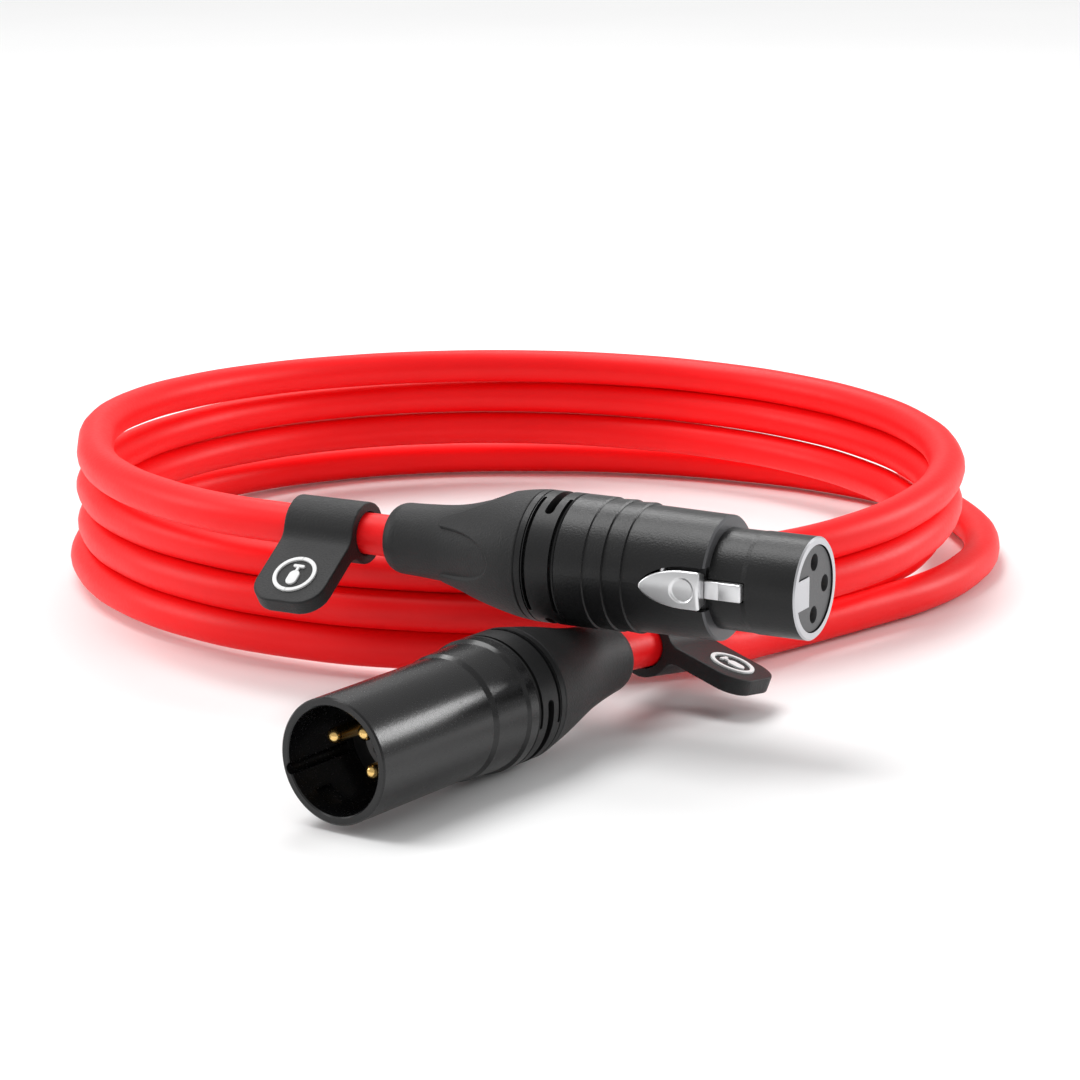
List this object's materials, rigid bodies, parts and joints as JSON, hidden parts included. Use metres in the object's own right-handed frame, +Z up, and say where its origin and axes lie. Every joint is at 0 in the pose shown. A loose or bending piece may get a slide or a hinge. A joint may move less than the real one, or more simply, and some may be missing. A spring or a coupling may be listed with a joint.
{
  "type": "coiled audio cable with plugs",
  "caption": "Red audio cable wound in a flat coil, with a latching female plug, a male plug, rubber boots and turning marker tags.",
  "frame": {"origin": "bottom centre of the whole object's box, on the surface it lies on", "axes": "+Z up; -Y towards the two plugs; +X to the right seen from the plugs' side"},
  "size_m": [0.1783, 0.2571, 0.0384],
  "materials": {
    "badge": "white raised sign",
    "braid": "tinned copper braid",
    "chuck": "grey moulded clamp",
    "collar": "black moulded ring",
    "gold": "gold-plated contact",
    "insert": "dark grey moulded plastic",
    "jacket": "red flexible jacket, satin",
    "male_insert": "black moulded plastic",
    "nickel": "satin nickel",
    "plate": "grey moulded plastic",
    "rubber": "matt moulded rubber",
    "shell": "black satin paint over die-cast zinc",
    "wire": "insulated wire"
  },
  "bodies": {
    "cable": {"female_shell": "shell", "female_insert": "insert", "female_contacts": "gold", "female_ground_ring": "nickel", "latch_pin": "nickel", "latch_spring": "nickel", "female_collar": "collar", "female_cable_end": "jacket", "female_braid": "braid", "female_wires": "wire", "male_shell": "shell", "male_insert": "male_insert", "male_pins": "gold", "male_face_plate": "plate", "male_collar": "collar", "male_cable_end": "jacket", "male_braid": "braid", "male_wires": "wire", "cable_coil": "jacket", "female_cable_tail": "jacket", "male_cable_tail": "jacket"},
    "latch": {"latch": "nickel"},
    "female_clamp": {"female_chuck": "chuck"},
    "female_grip": {"female_bushing": "collar", "female_boot": "rubber"},
    "male_clamp": {"male_chuck": "chuck"},
    "male_grip": {"male_bushing": "collar", "male_boot": "rubber"},
    "female_tag": {"female_tag": "rubber", "female_tag_badge": "badge"},
    "male_tag": {"male_tag": "rubber", "male_tag_badge": "badge"}
  },
  "joints": [
    {"name": "latch_press", "type": "hinge", "parent": "cable", "child": "latch", "pos_m": [0.01926, -0.08794, 0.0279], "axis": [0, 0, 1], "range_deg": [0, 5], "stiffness_Nm_per_rad": 0.4, "springref_deg": -2.86},
    {"name": "female_clamp_slide", "type": "slide", "parent": "cable", "child": "female_clamp", "axis": [-0.8829, 0.4695, 0], "range_m": [0, 0.002]},
    {"name": "female_grip_turn", "type": "hinge", "parent": "female_clamp", "child": "female_grip", "pos_m": [-0.00185, -0.06693, 0.0279], "axis": [0.8829, -0.4695, 0], "range_deg": [0, 720]},
    {"name": "male_clamp_slide", "type": "slide", "parent": "cable", "child": "male_clamp", "axis": [0.5764, 0.8171, 0], "range_m": [0, 0.001]},
    {"name": "male_grip_turn", "type": "hinge", "parent": "male_clamp", "child": "male_grip", "pos_m": [-0.00048, -0.08234, 0.0105], "axis": [-0.5764, -0.8171, 0], "range_deg": [0, 360]},
    {"name": "female_tag_turn", "type": "hinge", "parent": "cable", "child": "female_tag", "pos_m": [-0.03319, -0.05026, 0.0279], "axis": [-0.8829, 0.4695, 0], "range_deg": [-35, 130]},
    {"name": "male_tag_turn", "type": "hinge", "parent": "cable", "child": "male_tag", "pos_m": [0.02111, -0.05174, 0.00894], "axis": [-0.5708, -0.8092, 0.1392], "range_deg": [-6, 92]}
  ],
  "couplings": [
    {"joint": "female_clamp_slide", "follows": "female_grip_turn", "m_per_rad": 0.00015915},
    {"joint": "male_clamp_slide", "follows": "male_grip_turn", "m_per_rad": 0.00015915}
  ]
}
